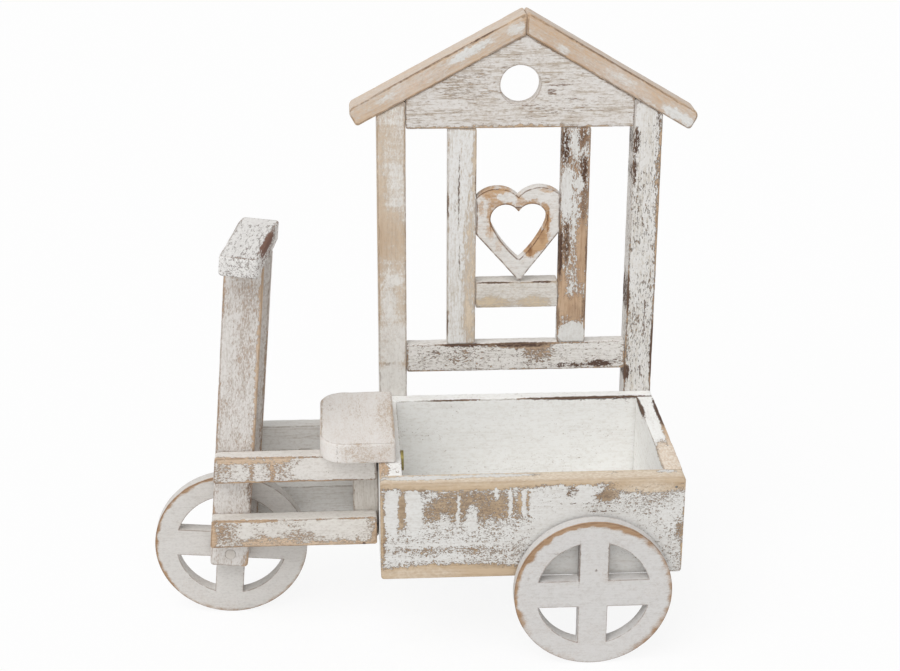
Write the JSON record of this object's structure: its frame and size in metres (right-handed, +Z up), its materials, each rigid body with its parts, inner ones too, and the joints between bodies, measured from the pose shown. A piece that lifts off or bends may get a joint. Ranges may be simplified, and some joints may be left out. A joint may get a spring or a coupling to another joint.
{
  "type": "tricycle planter",
  "caption": "Whitewashed wooden tricycle planter: open plank box on spoked wheels with a railed front fork, seat, handlebar and a house-shaped back with a heart.",
  "frame": {"origin": "on the ground under the middle of the outline, half way along and half way across", "axes": "+X from the front wheel towards the rear, +Y from the near side towards the house frame, +Z up"},
  "size_m": [0.4352, 0.2024, 0.4696],
  "materials": {
    "box_front": "distressed matte whitewash, worn through at the edges",
    "box_back": "distressed matte whitewash, worn through at the edges",
    "box_left_end": "distressed matte whitewash, worn through at the edges",
    "box_right_end": "distressed matte whitewash, worn through at the edges",
    "box_floor": "distressed matte whitewash, worn through at the edges",
    "axle_batten": "distressed matte whitewash, worn through at the edges",
    "rear_axle": "bare dowel",
    "near_rear_wheel": "smooth matte whitewash, rim edges worn bare",
    "far_rear_wheel": "smooth matte whitewash, rim edges worn bare",
    "near_upper_rail": "distressed matte whitewash, worn through at the edges",
    "far_upper_rail": "distressed matte whitewash, worn through at the edges",
    "near_lower_rail": "distressed matte whitewash, worn through at the edges",
    "far_lower_rail": "distressed matte whitewash, worn through at the edges",
    "frame_block": "distressed matte whitewash, worn through at the edges",
    "near_fork_post": "distressed matte whitewash, worn through at the edges",
    "far_fork_post": "distressed matte whitewash, worn through at the edges",
    "front_axle": "worn whitewash over bare dowel",
    "front_wheel": "smooth matte whitewash, rim edges worn bare",
    "handlebar": "distressed matte whitewash, worn through at the edges",
    "seat": "worn whitewash over bare wood",
    "house_left_post": "distressed matte whitewash, worn through at the edges",
    "house_right_post": "distressed matte whitewash, worn through at the edges",
    "house_rail": "distressed matte whitewash, worn through at the edges",
    "left_slat": "distressed matte whitewash, worn through at the edges",
    "right_slat": "distressed matte whitewash, worn through at the edges",
    "heart_rail": "distressed matte whitewash, worn through at the edges",
    "heart": "worn whitewash over bare wood",
    "gable_board": "distressed matte whitewash, worn through at the edges",
    "left_roof_board": "worn whitewash over bare wood",
    "right_roof_board": "worn whitewash over bare wood",
    "frame_bolts": "yellow zinc plating",
    "insert_nuts": "plain",
    "box_brads": "plain wire",
    "batten_brads": "plain wire",
    "frame_brads": "plain wire",
    "seat_brads": "plain wire",
    "handlebar_brads": "plain wire",
    "house_post_brads": "plain wire",
    "house_frame_brads": "plain wire",
    "heart_brads": "plain wire",
    "roof_brads": "plain wire",
    "slat_pins": "plain wire"
  },
  "bodies": {
    "frame": {"box_front": "box_front", "box_back": "box_back", "box_left_end": "box_left_end", "box_right_end": "box_right_end", "box_floor": "box_floor", "axle_batten": "axle_batten", "near_upper_rail": "near_upper_rail", "far_upper_rail": "far_upper_rail", "near_lower_rail": "near_lower_rail", "far_lower_rail": "far_lower_rail", "frame_block": "frame_block", "near_fork_post": "near_fork_post", "far_fork_post": "far_fork_post", "front_axle": "front_axle", "handlebar": "handlebar", "seat": "seat", "house_left_post": "house_left_post", "house_right_post": "house_right_post", "house_rail": "house_rail", "left_slat": "left_slat", "right_slat": "right_slat", "heart_rail": "heart_rail", "heart": "heart", "gable_board": "gable_board", "left_roof_board": "left_roof_board", "right_roof_board": "right_roof_board", "frame_bolts": "frame_bolts", "insert_nuts": "insert_nuts", "box_brads": "box_brads", "batten_brads": "batten_brads", "frame_brads": "frame_brads", "seat_brads": "seat_brads", "handlebar_brads": "handlebar_brads", "house_post_brads": "house_post_brads", "house_frame_brads": "house_frame_brads", "heart_brads": "heart_brads", "roof_brads": "roof_brads", "slat_pins": "slat_pins"},
    "front_wheel": {"front_wheel": "front_wheel"},
    "rear_wheels": {"near_rear_wheel": "near_rear_wheel", "far_rear_wheel": "far_rear_wheel", "rear_axle": "rear_axle"}
  },
  "joints": [
    {"name": "front_wheel_spin", "type": "hinge", "parent": "frame", "child": "front_wheel", "pos_m": [-0.15714, -0.0015, 0.0605], "axis": [0, 1, 0], "continuous": true},
    {"name": "rear_wheels_spin", "type": "hinge", "parent": "frame", "child": "rear_wheels", "pos_m": [0.12136, -0.0055, 0.0605], "axis": [0, 1, 0], "continuous": true}
  ]
}
